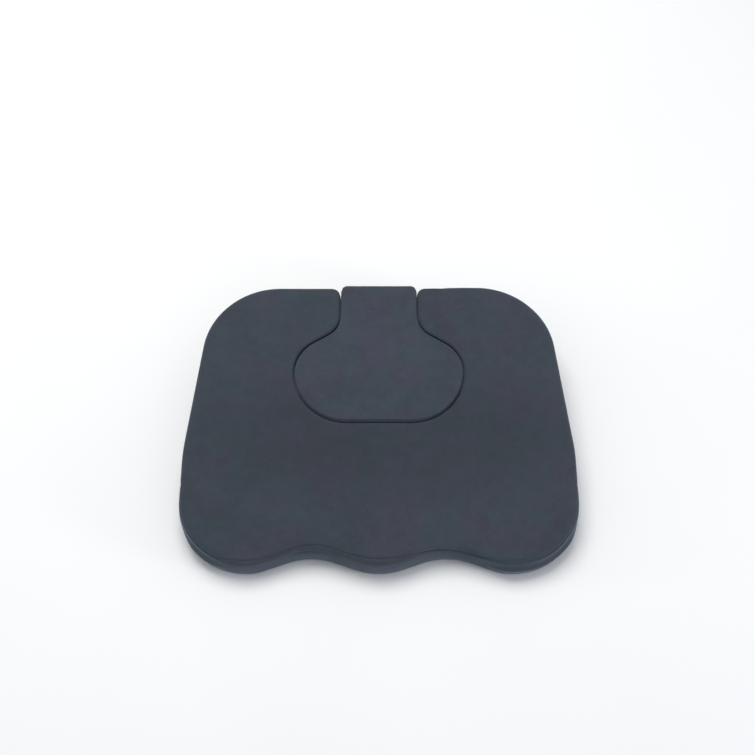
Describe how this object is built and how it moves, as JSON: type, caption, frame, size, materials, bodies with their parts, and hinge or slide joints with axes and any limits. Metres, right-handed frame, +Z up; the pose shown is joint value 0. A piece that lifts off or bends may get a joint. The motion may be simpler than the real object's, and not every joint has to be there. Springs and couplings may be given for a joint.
{
  "type": "seat cushion",
  "caption": "Wedge seat cushion with scalloped front edge, keyhole slot at the rear and a lift-out coccyx insert, in zipped fabric covers over foam.",
  "frame": {"origin": "middle of the footprint, on the surface that the cushion rests on", "axes": "+Z up, +Y to the rear of the seat, so that the scalloped front edge faces -Y; +X to the right seen from the front"},
  "size_m": [0.458, 0.354, 0.0743],
  "materials": {
    "microfibre": "brushed slate blue-grey microfibre, matte",
    "insert_microfibre": "brushed slate blue-grey microfibre, matte, a shade lighter",
    "anti_slip_base": "charcoal woven base fabric with small grip dots, matte",
    "firm_foam": "grey open-cell polyurethane foam, matte",
    "memory_foam": "cream viscoelastic foam, matte",
    "zip_tape": "dark herringbone polyester tape",
    "zip_coil": "dark nylon coil, satin",
    "zip_metal": "gunmetal, satin",
    "label_cloth": "white satin-weave label, blank"
  },
  "bodies": {
    "cushion": {"main_foam_wedge": "firm_foam", "main_memory_foam": "memory_foam", "cover_top_panel": "microfibre", "cover_border_front": "microfibre", "cover_border_left": "microfibre", "cover_border_right": "microfibre", "cover_border_slot": "microfibre", "cover_base_panel": "anti_slip_base", "care_label": "label_cloth", "main_zip_tape_front": "zip_tape", "main_zip_tape_rear": "zip_tape", "main_zip_coil_front": "zip_coil", "main_zip_coil_rear": "zip_coil", "main_zip_top_stop_front": "zip_metal", "main_zip_top_stop_rear": "zip_metal", "main_zip_bottom_stop": "zip_metal"},
    "insert": {"insert_foam_wedge": "firm_foam", "insert_memory_foam": "memory_foam", "insert_top_panel": "insert_microfibre", "insert_border": "insert_microfibre", "insert_base_panel": "anti_slip_base", "insert_zip_tape_front": "zip_tape", "insert_zip_tape_rear": "zip_tape", "insert_zip_coil_front": "zip_coil", "insert_zip_coil_rear": "zip_coil", "insert_zip_top_stop_front": "zip_metal", "insert_zip_top_stop_rear": "zip_metal", "insert_zip_bottom_stop": "zip_metal"},
    "main_slider": {"main_zip_slider": "zip_metal"},
    "main_pull": {"main_zip_pull": "zip_metal"},
    "insert_slider": {"insert_zip_slider": "zip_metal"},
    "insert_pull": {"insert_zip_pull": "zip_metal"}
  },
  "joints": [
    {"name": "insert_lift", "type": "slide", "parent": "cushion", "child": "insert", "axis": [0, 0, 1], "range_m": [0, 0.12]},
    {"name": "main_zip_slide", "type": "slide", "parent": "cushion", "child": "main_slider", "axis": [-1, 0, 0], "range_m": [0, 0.323]},
    {"name": "main_pull_swing", "type": "hinge", "parent": "main_slider", "child": "main_pull", "pos_m": [0.165, -0.067, 0.0017], "axis": [0, -1, 0], "range_deg": [0, 160]},
    {"name": "insert_zip_slide", "type": "slide", "parent": "insert", "child": "insert_slider", "axis": [-1, 0, 0], "range_m": [0, 0.103]},
    {"name": "insert_pull_swing", "type": "hinge", "parent": "insert_slider", "child": "insert_pull", "pos_m": [0.055, 0.038, 0.0017], "axis": [0, -1, 0], "range_deg": [0, 160]}
  ]
}
